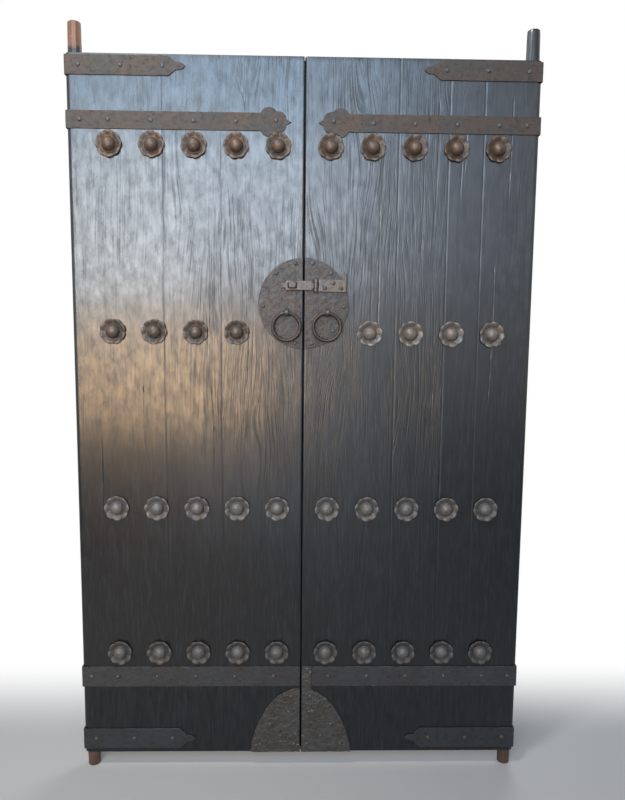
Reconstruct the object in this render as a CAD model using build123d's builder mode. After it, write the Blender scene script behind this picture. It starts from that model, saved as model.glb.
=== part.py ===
from build123d import *
import os
from math import cos, pi, sin

# A pair of plank door leaves that turn on their own pivot pegs, with iron straps,
# rosette studs, a split lock plate with two ring pulls, and a hasp over the seam.
# Millimetres. Z is up and the pegs stand on z = 0. The outer, studded face looks to -Y.
# X = 0 is the seam between the leaves. Y = 0 is the plane of the pivot pegs.
# Places across a leaf are distances from the seam, and side is -1 on the left leaf.
# Places up a leaf are heights above its lower end.

# The leaves
pair_width = 1180
leaf_height = 1830
leaf_thickness = 40
seam_gap = 3
edge_chamfer = 1.6
peg_diameter = 35
peg_inset = 1
top_peg_length = 78
bottom_peg_length = 44
peg_tip_chamfer = 3
outer_board_names = {
    "left": ("hinge_stile", "middle_board"),
    "right": ("hinge_stile", "outer_board", "middle_board"),
}

# Shares of a leaf's width taken by the outer boards, and of its height up to a stud row
outer_board_shares = {"left": (0.395, 0.249), "right": (0.234, 0.149, 0.215)}
lock_row_share = 0.6285
waist_row_share = 0.3755

# The battens let into the back
batten_height = 60
batten_proud = 19
batten_tongue_depth = 12
batten_mouth = 38
batten_tongue_flare = 5
batten_inner_end = 8
batten_outer_inset = 60
batten_fit = 0.1
batten_chamfer = 3

# The studs, in four rows of up to five
stud_columns = 5
first_stud = 66
outer_stud_inset = 102
top_row_drop = 216
bottom_row_rise = 288
petals = 8
petal_tip_radius = 33
petal_valley_radius = 29.5
rosette_valley = 3
rosette_rim = 7.5
boss_radius = 18.5
boss_height = 17
boss_seat_margin = 1
boss_shank_diameter = 8
clench_length = 18
clench_width = 6
clench_thickness = 3

# The iron straps
iron_sheet = 2.5
strap_bend = 2
strap_back_leg = 125
top_pivot_strap_height = 47
top_pivot_strap_inset = 5
top_pivot_strap_length = 294
upper_strap_height = 43
upper_strap_rise = 58
upper_strap_tip = 34
upper_head_length = 76
upper_head_half = 35
lower_strap_height = 56
lower_strap_drop = 69
bottom_pivot_strap_height = 57
bottom_pivot_strap_inset = 12
bottom_pivot_strap_length = 302
pivot_head_length = 42
pivot_head_half = 9

# Points on the straps' heads: a share of the head's length from its tip, and of its half height
pivot_head_shoulder = (0.7, 0.6)
pivot_head_waist = 0.55
pivot_head_belly = (0.2, 0.75)
cloud_lobe = 0.77
cloud_cusp = (0.47, 0.72)
cloud_cheek = (0.24, 0.58)
cloud_nose = (0.16, 0.2)

# The straps' nails, from the leaf's outer edge, from the studs and from the back leg's end
edge_nail_inset = 32
pivot_nail_spacing = 103
seam_nail_across = 6
seam_nail_rise = 4
lower_nail_shift = 8
back_leg_nails_along = (13, 60)

# The corner plates
corner_plate_width = 138
corner_plate_height = 187
plate_edge = 3
tongue_width = 26
iron_gap = 0.8

# Points on a corner plate, as shares of its width and height
corner_crown = (0.42, 0.88)
corner_shoulder = (0.69, 0.66)
corner_flank = (0.9, 0.33)
tongue_foot = 0.6
corner_nail_shares = ((0.19, 0.86), (0.24, 0.62), (0.6, 0.43), (0.4, 0.25), (0.13, 0.12), (0.8, 0.12))

# The small nails
nail_head_radius = 6
nail_head_height = 3.5
nail_shank_diameter = 4
nail_length = 26
nail_fit = 0.05

# The lock plate
lock_plate_radius = 116
lock_plate_rise = 75
lock_nail_inset = 12
lock_nail_turns = (-78, -42, -4, 48, 78)

# The ring pulls and their eyes
ring_radius = 35
ring_wire = 8
ring_places = {"left": 43.5, "right": 60}
ring_rise = 16
eye_width = 8
eye_bore_radius = 5.5
eye_wall = 4
eye_shank_diameter = 7
eye_shank_length = 30
eye_rest_gap = 0.35
eye_rim_chamfer = 1
plate_clearance = 0.3

# The hasp
hasp_height = 31
hasp_rise = 45.5
hasp_axis_place = 31
hasp_plate_end = 109
hasp_thickness = 4.5
pin_radius = 2.5
pin_fit = 0.05
pin_head_radius = 4.5
pin_head_height = 2
knuckle_wall = 4
outer_knuckle_length = 8
knuckle_gap = 0.3
lug_width = 6
lug_rise = 20
lug_proud = 1.5
hasp_nails_across = (54, 75, 96)
hasp_nail_heights = (-6, 7, -6)
arm_height = 24
arm_thickness = 4
arm_end_margin = 5.5
arm_nose_length = 9
arm_nose_height = 12
arm_clearance = 1.5
arm_corner = 4
staple_place = 29
staple_width = 18
staple_height = 12
staple_strip = 3.5
staple_reach = 22
staple_shank_length = 28
slot_side_clearance = 3
slot_end_clearance = 0.4

# Worked out from the sizes above
sides = {"left": -1, "right": 1}
leaf_base = bottom_peg_length
leaf_top = leaf_base + leaf_height
leaf_edge = pair_width / 2
meeting_edge = seam_gap / 2
face = leaf_thickness / 2
plate_front = face + iron_sheet
peg_centre = leaf_edge - peg_inset - peg_diameter / 2
stud_spacing = (leaf_edge - outer_stud_inset - first_stud) / (stud_columns - 1)
stud_rows = {
    "top": leaf_height - top_row_drop,
    "lock": lock_row_share * leaf_height,
    "waist": waist_row_share * leaf_height,
    "bottom": bottom_row_rise,
}
lock_plate_place = stud_rows["lock"] + lock_plate_rise
ring_centre = stud_rows["lock"] + ring_rise
hasp_place = lock_plate_place + hasp_rise
upper_strap_place = stud_rows["top"] + upper_strap_rise
lower_strap_place = stud_rows["bottom"] - lower_strap_drop
top_pivot_strap_tip = leaf_edge - top_pivot_strap_length
bottom_pivot_strap_tip = leaf_edge - bottom_pivot_strap_length
batten_back = face + batten_proud
batten_outer_end = leaf_edge - batten_outer_inset
back_leg_end = leaf_edge - strap_back_leg
top_pivot_strap_place = leaf_height - top_pivot_strap_inset - top_pivot_strap_height / 2
bottom_pivot_strap_place = bottom_pivot_strap_inset + bottom_pivot_strap_height / 2
lower_strap_top = lower_strap_place + lower_strap_height / 2
nail_hole = nail_shank_diameter / 2 + nail_fit
boss_hole = boss_shank_diameter / 2 + nail_fit

# A ring's wire lies in the bottom of its eye and turns about its own middle
eye_outer_radius = eye_bore_radius + eye_wall
eye_stand = plate_front + plate_clearance + eye_outer_radius
ring_axis = ring_centre + ring_radius
eye_centre = ring_axis + eye_bore_radius - ring_wire / 2 - eye_rest_gap

# The hasp's barrel lies on the lock plate, and its arm clears it
knuckle_bore = pin_radius + pin_fit
eye_hole = eye_shank_diameter / 2 + nail_fit
barrel_radius = pin_radius + knuckle_wall
barrel_stand = plate_front + barrel_radius
hasp_base = hasp_place - hasp_height / 2
arm_knuckle_length = hasp_height - 2 * outer_knuckle_length - 2 * knuckle_gap
staple_outer = staple_place + staple_width / 2
staple_inner = staple_place - staple_width / 2
arm_end = staple_outer + slot_side_clearance + arm_end_margin


def up(height):
    """The Z of a height above the leaf's lower end."""
    return leaf_base + height


def columns(row):
    """A stud row's distances from the seam. The lock plate takes the first place."""
    first = 1 if row == "lock" else 0
    return [first_stud + stud_spacing * i for i in range(first, stud_columns)]


def stud_places():
    """Every stud's place on a leaf."""
    return [(d, height) for row, height in stud_rows.items() for d in columns(row)]


def strap_nails():
    """The nails through the front legs of the straps."""
    near_edge = leaf_edge - edge_nail_inset
    pivot_places = [near_edge - pivot_nail_spacing * i for i in range(3)]
    places = [(d, top_pivot_strap_place) for d in pivot_places]
    places += [(d, bottom_pivot_strap_place) for d in pivot_places]
    places += [(d, upper_strap_place) for d in columns("lock") + [near_edge]]
    places += [(first_stud + seam_nail_across, upper_strap_place + seam_nail_rise)]
    lower_places = columns("bottom") + [near_edge]
    places += [(d + lower_nail_shift, lower_strap_place) for d in lower_places]
    return places


def back_leg_nails():
    """The nails through the back legs of the straps."""
    heights = (
        top_pivot_strap_place, upper_strap_place, lower_strap_place, bottom_pivot_strap_place
    )
    return [(back_leg_end + along, h) for h in heights for along in back_leg_nails_along]


def lock_plate_nails():
    """The nails round the rim of each half of the lock plate."""
    rim = lock_plate_radius - lock_nail_inset
    turns = [pi * a / 180 for a in lock_nail_turns]
    return [(rim * cos(a), lock_plate_place + rim * sin(a)) for a in turns]


def corner_point(share):
    """A point on a corner plate."""
    return share[0] * corner_plate_width, share[1] * corner_plate_height


def corner_plate_nails():
    """The nails of each corner plate."""
    return [corner_point(share) for share in corner_nail_shares]


def hasp_nails():
    """The nails through the hasp's fixed plate."""
    return [(d, hasp_place + rise) for d, rise in zip(hasp_nails_across, hasp_nail_heights)]


def drill(side, places, radius, start, end):
    """Round holes along Y from start to end, at any places on a leaf."""
    if not places:
        return
    with Locations(*[(side * d, (start + end) / 2, up(h)) for d, h in places]):
        Cylinder(radius, abs(end - start), rotation=(90, 0, 0), mode=Mode.SUBTRACT)


def facing(side, height, stand):
    """A plane on the outer face: X away from the seam, Y up, a stand in front of Y = 0."""
    return Plane(origin=(0, -stand, up(height)), x_dir=(side, 0, 0), z_dir=(0, -side, 0))


def block(side, near, far, front, back, low, high, mode=Mode.ADD):
    """A square block between distances from the seam, depths along Y and heights."""
    with Locations((side * (near + far) / 2, (front + back) / 2, up((low + high) / 2))):
        Box(abs(far - near), abs(back - front), high - low, mode=mode)


def save(piece, name):
    """Label a finished piece and write it."""
    piece.part.label = name
    export_step(piece.part, f"parts/{name}.step")


def tongue(fit):
    """The dovetail tongue of a batten, from the boards' back face inwards."""
    mouth = batten_mouth / 2 + fit
    root = mouth + batten_tongue_flare
    depth = face - batten_tongue_depth - fit
    return (face, -mouth), (depth, -root), (depth, root), (face, mouth)


def on_board(near, far, places):
    """The places whose holes reach a board."""
    return [(d, h) for d, h in places if near - boss_hole < d < far + boss_hole]


def between(places, low, high):
    """The places at heights between low and high."""
    return [(d, h) for d, h in places if low < h < high]


# The boards and their battens

def board(hand, near, far):
    """An upright board with its grooves and nail holes. The outermost carries the pegs."""
    side = sides[hand]
    front_nails = strap_nails() + lock_plate_nails() + corner_plate_nails()
    if hand == "right":
        front_nails += hasp_nails()
    nail_depth = nail_length - face
    with BuildPart() as piece:
        with BuildSketch(Plane.XZ.offset(-face)):
            with Locations((side * (near + far) / 2, up(leaf_height / 2))):
                Rectangle(far - near, leaf_height)
        extrude(amount=leaf_thickness)
        chamfer(piece.edges().filter_by(Axis.Z), edge_chamfer)
        if far == leaf_edge:
            for start, length in ((0, leaf_base), (leaf_top, top_peg_length)):
                with BuildSketch(Plane.XY.offset(start)):
                    with Locations((side * peg_centre, 0)):
                        Circle(peg_diameter / 2)
                extrude(amount=length)
            rims = piece.edges().filter_by(GeomType.CIRCLE).sort_by(Axis.Z)
            chamfer([rims[0], rims[-1]], peg_tip_chamfer)
        for height in stud_rows.values():
            with BuildSketch(Plane.YZ.offset(min(0, side * batten_outer_end))):
                with BuildLine():
                    Polyline(*[(y, up(height) + v) for y, v in tongue(batten_fit)], close=True)
                make_face()
            extrude(amount=batten_outer_end, mode=Mode.SUBTRACT)
        drill(side, on_board(near, far, stud_places()), boss_hole, -face, face)
        drill(side, on_board(near, far, front_nails), nail_hole, -face, nail_depth)
        if far == leaf_edge:
            drill(side, back_leg_nails(), nail_hole, -nail_depth, face)
        if near == meeting_edge:
            eye_place = (ring_places[hand], eye_centre)
            drill(side, [eye_place], eye_hole, -face, eye_shank_length - face)
        if near == meeting_edge and hand == "left":
            staple_legs(staple_shank_length - face, nail_fit, Mode.SUBTRACT)
    return piece


def batten(hand, row):
    """A back batten with a dovetail tongue, bored for its row of studs."""
    side = sides[hand]
    start = min(side * batten_inner_end, side * batten_outer_end)
    half = batten_height / 2
    height = stud_rows[row]
    inner, root, outer_root, outer = tongue(0)
    section = [inner, root, outer_root, outer, (face, half), (batten_back, half),
               (batten_back, -half), (face, -half)]
    with BuildPart() as piece:
        with BuildSketch(Plane.YZ.offset(start)):
            with BuildLine():
                Polyline(*[(y, up(height) + v) for y, v in section], close=True)
            make_face()
        extrude(amount=batten_outer_end - batten_inner_end)
        chamfer(piece.faces().sort_by(Axis.Y)[-1].edges(), batten_chamfer)
        places = [(d, height) for d in columns(row)]
        drill(side, places, boss_hole, 0, batten_back)
    return piece


# The rosettes and every nail

def rosette():
    """A petalled washer, dished towards the boss, on the door's face at the origin."""
    turn = pi / petals
    with BuildPart() as piece:
        with BuildSketch(Plane.XZ.offset(face)):
            with BuildLine():
                for i in range(petals):
                    valley, tip, after = [(2 * i + k) * turn for k in (-1, 0, 1)]
                    ThreePointArc(
                        (petal_valley_radius * cos(valley), petal_valley_radius * sin(valley)),
                        (petal_tip_radius * cos(tip), petal_tip_radius * sin(tip)),
                        (petal_valley_radius * cos(after), petal_valley_radius * sin(after)),
                    )
            make_face()
            Circle(boss_hole, mode=Mode.SUBTRACT)
        extrude(amount=rosette_rim)
        seat = boss_radius + boss_seat_margin
        low = -face - rosette_valley
        high = -face - rosette_rim
        with BuildSketch(Plane.XY):
            with BuildLine():
                Polyline((0, low), (seat, low), (petal_tip_radius, high), (0, high), close=True)
            make_face()
        revolve(axis=Axis.Y, mode=Mode.SUBTRACT)
    return piece.part


def boss_nail():
    """A domed boss with its shank and the tip clenched down over the batten."""
    seat = -face - rosette_valley
    shank = boss_shank_diameter / 2
    with BuildPart() as piece:
        with BuildSketch(Plane.XY):
            with BuildLine():
                TangentArc((0, seat - boss_height), (boss_radius, seat), tangent=(1, 0))
                Polyline(
                    (boss_radius, seat), (shank, seat), (shank, batten_back),
                    (0, batten_back), (0, seat - boss_height),
                )
            make_face()
        revolve(axis=Axis.Y)
        with Locations((0, batten_back + clench_thickness / 2, shank - clench_length / 2)):
            Box(clench_width, clench_thickness, clench_length)
    return piece.part


def small_nail(stand):
    """A round-headed nail, its head on a sheet whose front stands at -Y."""
    shank = nail_shank_diameter / 2
    with BuildPart() as piece:
        with BuildSketch(Plane.XY):
            with BuildLine():
                TangentArc(
                    (0, -stand - nail_head_height), (nail_head_radius, -stand), tangent=(1, 0)
                )
                Polyline(
                    (nail_head_radius, -stand), (shank, -stand), (shank, nail_length - stand),
                    (0, nail_length - stand), (0, -stand - nail_head_height),
                )
            make_face()
        revolve(axis=Axis.Y)
    return piece.part


def scatter(hand, places, one, turn=0):
    """Copies of one piece at places on a leaf, turned about Z for those in the back."""
    side = sides[hand]
    with BuildPart() as group:
        with Locations(*[Location((side * d, 0, up(h)), (0, 0, turn)) for d, h in places]):
            add(one)
    return group


def strap_nail_set(hand):
    """The nails of the straps, from the front and from the back."""
    one = small_nail(plate_front)
    back = scatter(hand, back_leg_nails(), one, 180)
    with BuildPart() as group:
        add(scatter(hand, strap_nails(), one).part)
        add(back.part)
    return group


# The straps, cut from sheet and bent round the leaf's outer edge. Each head's upper
# half is drawn from the leaf's outer edge to the tip, about the strap's centre line.

def head_point(tip, length, half, share):
    """A point on a strap's head."""
    return tip + share[0] * length, share[1] * half


def pivot_head(half, tip):
    """The ogee end of a pivot strap."""
    neck = (tip + pivot_head_length, half)
    shoulder = head_point(tip, pivot_head_length, half, pivot_head_shoulder)
    waist = (tip + pivot_head_waist * pivot_head_length, pivot_head_half)
    belly = head_point(tip, pivot_head_length, pivot_head_half, pivot_head_belly)
    Line((leaf_edge, half), neck)
    ThreePointArc(neck, shoulder, waist)
    ThreePointArc(waist, belly, (tip, 0))


def cloud_head(half, tip):
    """The cloud end of an upper strap."""
    neck = (tip + upper_head_length, half)
    lobe = (tip + cloud_lobe * upper_head_length, upper_head_half)
    cusp = head_point(tip, upper_head_length, upper_head_half, cloud_cusp)
    cheek = head_point(tip, upper_head_length, upper_head_half, cloud_cheek)
    nose = head_point(tip, upper_head_length, upper_head_half, cloud_nose)
    Line((leaf_edge, half), neck)
    ThreePointArc(neck, lobe, cusp)
    ThreePointArc(cusp, cheek, nose)
    Line(nose, (tip, 0))


def square_head(half, tip):
    """The plain end of a lower strap."""
    Polyline((leaf_edge, half), (tip, half), (tip, 0))


def strap(hand, height, width, head, tip):
    """A strap with its front leg, the bend round the outer edge and the back leg."""
    side = sides[hand]
    outside = leaf_edge + iron_sheet
    low = height - width / 2
    high = height + width / 2
    with BuildPart() as piece:
        with BuildSketch(facing(side, height, face)):
            with BuildLine():
                head(width / 2, tip)
                mirror(about=Plane.XZ)
                Line((leaf_edge, -width / 2), (leaf_edge, width / 2))
            make_face()
        extrude(amount=side * iron_sheet)
        block(side, leaf_edge, outside, -plate_front, plate_front, low, high)
        block(side, back_leg_end, outside, face, plate_front, low, high)
        bends = piece.edges().filter_by(Axis.Z).group_by(lambda e: round(side * e.center().X, 3))
        fillet(bends[-1], strap_bend)
        drill(side, [(first_stud, stud_rows["top"])], petal_tip_radius + iron_gap,
              -plate_front, -face)
        drill(side, between(strap_nails(), low, high), nail_hole, -plate_front, -face)
        drill(side, between(back_leg_nails(), low, high), nail_hole, face, plate_front)
    return piece


# The plates

def corner_plate(hand):
    """Half of the pointed arch at the foot of the seam. The right one has a tongue."""
    side = sides[hand]
    point = (plate_edge, corner_plate_height)
    shoulder = corner_point(corner_shoulder)
    toe = (corner_plate_width, 0)
    with BuildPart() as piece:
        with BuildSketch(facing(side, 0, face)):
            with BuildLine():
                ThreePointArc(point, corner_point(corner_crown), shoulder)
                ThreePointArc(shoulder, corner_point(corner_flank), toe)
                Polyline(toe, (plate_edge, 0), point)
            make_face()
        extrude(amount=side * iron_sheet)
        if hand == "right":
            block(side, plate_edge, plate_edge + tongue_width, -plate_front, -face,
                  tongue_foot * corner_plate_height, lower_strap_top)
        drill(side, corner_plate_nails(), nail_hole, -plate_front, -face)
    return piece


def lock_plate(hand):
    """Half of the round lock plate, cut for its ring's eye and for the hasp."""
    side = sides[hand]
    with BuildPart() as piece:
        with BuildSketch(facing(side, lock_plate_place, face)):
            Circle(lock_plate_radius)
            with Locations((plate_edge, 0)):
                Rectangle(lock_plate_radius, 2 * lock_plate_radius,
                          align=(Align.MIN, Align.CENTER), mode=Mode.INTERSECT)
        extrude(amount=side * iron_sheet)
        drill(side, lock_plate_nails(), nail_hole, -plate_front, -face)
        drill(side, [(ring_places[hand], eye_centre)], eye_hole, -plate_front, -face)
        if hand == "right":
            drill(side, hasp_nails(), nail_hole, -plate_front, -face)
        else:
            staple_legs(-face, nail_fit, Mode.SUBTRACT)
    return piece


# The ring pulls

def ring_eye(hand):
    """A flat-barred eye with its shank let into the meeting board."""
    side = sides[hand]
    across = side * ring_places[hand]
    shank_end = eye_shank_length - plate_front
    with BuildPart() as piece:
        with BuildSketch(Plane.YZ.offset(across - eye_width / 2)):
            with Locations((-eye_stand, up(eye_centre))):
                Circle(eye_outer_radius)
        extrude(amount=eye_width)
        with BuildSketch(Plane.XZ.offset(eye_stand)):
            with Locations((across, up(eye_centre))):
                Circle(eye_shank_diameter / 2)
        extrude(amount=-eye_stand - shank_end)
        with Locations((across, -eye_stand, up(eye_centre))):
            Cylinder(eye_bore_radius, eye_width, rotation=(0, 90, 0), mode=Mode.SUBTRACT)
        rims = piece.edges().filter_by(GeomType.CIRCLE)
        bore_rims = rims.filter_by(lambda e: abs(e.radius - eye_bore_radius) < 0.01)
        chamfer(bore_rims, eye_rim_chamfer)
    return piece


def ring_pull(hand):
    """A forged ring that hangs in its eye."""
    with BuildPart() as piece:
        with Locations((sides[hand] * ring_places[hand], -eye_stand, up(ring_centre))):
            Torus(ring_radius, ring_wire / 2, rotation=(90, 0, 0))
    return piece


# The hasp: a fixed plate on the right leaf, an arm, and a staple on the left leaf

def staple_legs(end, fit, mode):
    """The staple's two legs, from its crown to an end inside the door."""
    front = -face - staple_reach
    low = hasp_place - staple_height / 2 - fit
    high = hasp_place + staple_height / 2 + fit
    for inner in (staple_inner, staple_outer - staple_strip):
        block(-1, inner - fit, inner + staple_strip + fit, front, end, low, high, mode)


def hasp_staple():
    """A staple of flat strip that stands through the arm's slot, with room for a lock."""
    front = -face - staple_reach
    with BuildPart() as piece:
        staple_legs(staple_shank_length - plate_front, 0, Mode.ADD)
        block(-1, staple_inner, staple_outer, front, front + staple_strip,
              hasp_place - staple_height / 2, hasp_place + staple_height / 2)
        corners = piece.edges().filter_by(Axis.Z).group_by(Axis.Y)[0]
        fillet(corners, staple_strip / 2)
    return piece


def hasp_plate():
    """The fixed plate with the barrel's upper and lower knuckles and an upright end lug."""
    back = -plate_front
    front = back - hasp_thickness
    top = hasp_base + hasp_height
    notch = hasp_axis_place + barrel_radius + arm_clearance
    with BuildPart() as piece:
        block(1, notch, hasp_plate_end, front, back, hasp_base, top)
        block(1, hasp_plate_end - lug_width, hasp_plate_end, front - lug_proud, back,
              hasp_base, top + lug_rise)
        for low in (hasp_base, top - outer_knuckle_length):
            block(1, hasp_axis_place, notch, front, back, low, low + outer_knuckle_length)
            with Locations((hasp_axis_place, -barrel_stand, up(low))):
                Cylinder(barrel_radius, outer_knuckle_length,
                         align=(Align.CENTER, Align.CENTER, Align.MIN))
        with Locations((hasp_axis_place, -barrel_stand, up(hasp_place))):
            Cylinder(knuckle_bore, 2 * hasp_height, mode=Mode.SUBTRACT)
        drill(1, hasp_nails(), nail_hole, front, back)
    return piece


def hasp_pin():
    """The pin with a head on the upper knuckle."""
    top = hasp_base + hasp_height
    with BuildPart() as piece:
        with Locations((hasp_axis_place, -barrel_stand, up(hasp_base))):
            Cylinder(pin_radius, hasp_height, align=(Align.CENTER, Align.CENTER, Align.MIN))
        with Locations((hasp_axis_place, -barrel_stand, up(top))):
            Cylinder(pin_head_radius, pin_head_height,
                     align=(Align.CENTER, Align.CENTER, Align.MIN))
        chamfer(piece.edges().sort_by(Axis.Z)[-1], pin_head_height / 2)
    return piece


def hasp_arm():
    """The slotted arm, its knuckle and the nose that a finger lifts."""
    shoulder = hasp_axis_place - barrel_radius - arm_clearance
    slot_near = staple_inner - slot_side_clearance
    slot_far = staple_outer + slot_side_clearance
    slot_half = staple_height / 2 + slot_end_clearance
    with BuildPart() as piece:
        with BuildSketch(Plane.XZ.offset(barrel_stand - arm_thickness / 2)):
            with Locations(((shoulder - arm_end) / 2, up(hasp_place))):
                RectangleRounded(shoulder + arm_end, arm_height, arm_corner)
            with Locations(((hasp_axis_place + shoulder) / 2, up(hasp_place))):
                Rectangle(barrel_radius + 2 * arm_clearance, arm_knuckle_length)
            with Locations((-arm_end, up(hasp_place))):
                SlotOverall(2 * arm_nose_length, arm_nose_height)
            with Locations((-(slot_near + slot_far) / 2, up(hasp_place))):
                Rectangle(slot_far - slot_near, 2 * slot_half, mode=Mode.SUBTRACT)
        extrude(amount=arm_thickness)
        with Locations((hasp_axis_place, -barrel_stand, up(hasp_place))):
            Cylinder(barrel_radius - plate_clearance, arm_knuckle_length)
            Cylinder(knuckle_bore, 2 * hasp_height, mode=Mode.SUBTRACT)
    return piece


# Both leaves, piece by piece, and then the hasp

os.makedirs("parts", exist_ok=True)
rosette_piece = rosette()
boss_piece = boss_nail()
for hand in sides:
    far = leaf_edge
    outer_boards = zip(outer_board_names[hand], outer_board_shares[hand])
    for board_name, share in outer_boards:
        near = far - share * leaf_edge
        save(board(hand, near, far), f"{hand}_{board_name}")
        far = near
    save(board(hand, meeting_edge, far), f"{hand}_meeting_board")
    for row, height in stud_rows.items():
        save(batten(hand, row), f"{hand}_{row}_batten")
        places = [(d, height) for d in columns(row)]
        save(scatter(hand, places, rosette_piece), f"{hand}_{row}_rosettes")
    save(scatter(hand, stud_places(), boss_piece), f"{hand}_boss_nails")
    lower_strap_tip = plate_edge if hand == "left" else plate_edge + tongue_width + iron_gap
    straps = {
        "top_pivot_strap": (
            top_pivot_strap_place, top_pivot_strap_height, pivot_head, top_pivot_strap_tip),
        "upper_strap": (upper_strap_place, upper_strap_height, cloud_head, upper_strap_tip),
        "lower_strap": (lower_strap_place, lower_strap_height, square_head, lower_strap_tip),
        "bottom_pivot_strap": (
            bottom_pivot_strap_place, bottom_pivot_strap_height, pivot_head,
            bottom_pivot_strap_tip),
    }
    for strap_name, sizes in straps.items():
        save(strap(hand, *sizes), f"{hand}_{strap_name}")
    save(strap_nail_set(hand), f"{hand}_strap_nails")
    save(corner_plate(hand), f"{hand}_corner_plate")
    save(lock_plate(hand), f"{hand}_lock_plate")
    plate_places = lock_plate_nails() + corner_plate_nails()
    save(scatter(hand, plate_places, small_nail(plate_front)), f"{hand}_plate_nails")
    save(ring_eye(hand), f"{hand}_ring_eye")
    save(ring_pull(hand), f"{hand}_ring_pull")

save(hasp_staple(), "hasp_staple")
save(hasp_plate(), "hasp_plate")
save(hasp_pin(), "hasp_pin")
save(hasp_arm(), "hasp_arm")
save(scatter("right", hasp_nails(), small_nail(plate_front + hasp_thickness)), "hasp_nails")
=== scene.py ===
"""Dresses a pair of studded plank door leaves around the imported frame."""

import logging
import math
import random
from collections.abc import Callable, Sequence
from dataclasses import dataclass, replace
from enum import Enum
from typing import Any

import bmesh
import bpy
from bpy.types import Material, Node, NodeTree, Object, Texture
from mathutils import Matrix, Vector


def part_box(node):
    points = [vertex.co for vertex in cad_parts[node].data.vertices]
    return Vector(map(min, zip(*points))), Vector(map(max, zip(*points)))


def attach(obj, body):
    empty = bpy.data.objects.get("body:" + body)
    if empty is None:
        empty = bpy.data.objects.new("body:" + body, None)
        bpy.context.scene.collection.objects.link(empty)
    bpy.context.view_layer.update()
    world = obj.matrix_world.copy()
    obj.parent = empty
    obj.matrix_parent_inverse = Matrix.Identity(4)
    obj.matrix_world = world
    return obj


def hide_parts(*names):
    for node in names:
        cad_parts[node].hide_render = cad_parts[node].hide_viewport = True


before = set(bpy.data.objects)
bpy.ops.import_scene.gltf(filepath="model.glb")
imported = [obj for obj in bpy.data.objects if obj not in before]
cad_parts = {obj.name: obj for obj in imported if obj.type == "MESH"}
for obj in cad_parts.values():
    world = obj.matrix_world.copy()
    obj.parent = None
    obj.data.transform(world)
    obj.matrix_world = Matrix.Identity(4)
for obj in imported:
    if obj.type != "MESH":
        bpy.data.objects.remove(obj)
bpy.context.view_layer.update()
log = logging.getLogger("door_leaves")

# The outer face's Y, the leaves' lower and upper ends and their outer edge, in metres
FACE = -0.020
LEAF_FOOT = 0.044
LEAF_TOP = 1.874
LEAF_EDGE = 0.590
SEED = 11
# Vertices closer than this are one
MERGE = 1e-6

Point = tuple[float, float, float]


class Hand(Enum):
    """Which leaf a piece belongs to. The value is its side of the seam along X."""

    LEFT = -1
    RIGHT = 1

    @property
    def word(self) -> str:
        """The hand as the CAD nodes' names begin."""
        return self.name.lower()

    @property
    def body(self) -> str:
        """The CAD body that this leaf's pieces ride on."""
        return f"{self.word}_leaf"


class Row(Enum):
    """A row of studs, from the top of a leaf down."""

    TOP = "top"
    LOCK = "lock"
    WAIST = "waist"
    BOTTOM = "bottom"


# Colours and nodes


def linear(code: str) -> tuple[float, float, float, float]:
    """Turns an sRGB hex colour to linear.

    Args:
        code: A colour such as "#1a2b3c".

    Returns:
        Linear red, green and blue, and a full alpha.
    """
    parts = [int(code[i : i + 2], 16) / 255 for i in (1, 3, 5)]
    r, g, b = (p / 12.92 if p <= 0.04045 else ((p + 0.055) / 1.055) ** 2.4 for p in parts)
    return (r, g, b, 1.0)


def add_node(
    tree: NodeTree,
    kind: str,
    links: dict[Any, Any] | None = None,
    values: dict[Any, Any] | None = None,
    **settings: Any,
) -> Node:
    """Adds a node with its settings and links.

    Args:
        tree: The tree the node goes into.
        kind: The node's type, without the word ShaderNode.
        links: What feeds its inputs, by name or number: a socket, or a node for its first output.
        values: Constant values of its inputs, by name or number.
        settings: Properties of the node itself.

    Returns:
        The node.
    """
    made = tree.nodes.new(f"ShaderNode{kind}")
    for name, value in settings.items():
        setattr(made, name, value)
    for socket, value in (values or {}).items():
        made.inputs[socket].default_value = value
    for socket, source in (links or {}).items():
        output = source.outputs[0] if isinstance(source, Node) else source
        tree.links.new(output, made.inputs[socket])
    return made


def new_material(name: str) -> tuple[Material, NodeTree, Any]:
    """Starts a node material.

    Args:
        name: The finish's name.

    Returns:
        The material, its emptied tree and a socket with the object's own coordinates.
    """
    material = bpy.data.materials.new(name)
    material.use_nodes = True
    tree = material.node_tree
    tree.nodes.clear()
    return material, tree, add_node(tree, "TexCoord").outputs["Object"]


def cells(
    tree: NodeTree, places: Any, size: Point, shift: Point = (0, 0, 0), detail: float = 2, rough: float = 0.5
) -> Node:
    """Random soft cells of a real size.

    Args:
        tree: The material's tree.
        places: The coordinates to read, in metres.
        size: A cell's size along X, Y and Z.
        shift: Where the pattern starts, in cells.
        detail: How many finer layers lie over the cells.
        rough: How strong the finer layers are.

    Returns:
        The pattern's node, whose first output runs from 0 to 1.
    """
    scale = [1 / s for s in size]
    mapped = add_node(tree, "Mapping", {"Vector": places}, {"Scale": scale, "Location": shift})
    amounts = {"Scale": 1.0, "Detail": detail, "Roughness": rough}
    return add_node(tree, "TexNoise", {"Vector": mapped}, amounts)


def layers(tree: NodeTree, base: str, over: Sequence[tuple[Any, str]]) -> Any:
    """Lays colours over a base colour.

    Args:
        tree: The material's tree.
        base: The lowest colour.
        over: The share, from 0 to 1, and the colour of each layer above it.

    Returns:
        The socket of the colour that shows.
    """
    below = None
    for share, code in over:
        links, values = {0: share}, {7: linear(code)}
        if below is None:
            values[6] = linear(base)
        else:
            links[6] = below
        below = add_node(tree, "Mix", links, values, data_type="RGBA").outputs[2]
    return below


# Finishes. Of a Map Range node, inputs 1 and 2 are where its ramp starts and ends on what feeds it,
# and 3 and 4 are what it gives there, 0 and 1 unless they are set


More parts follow.
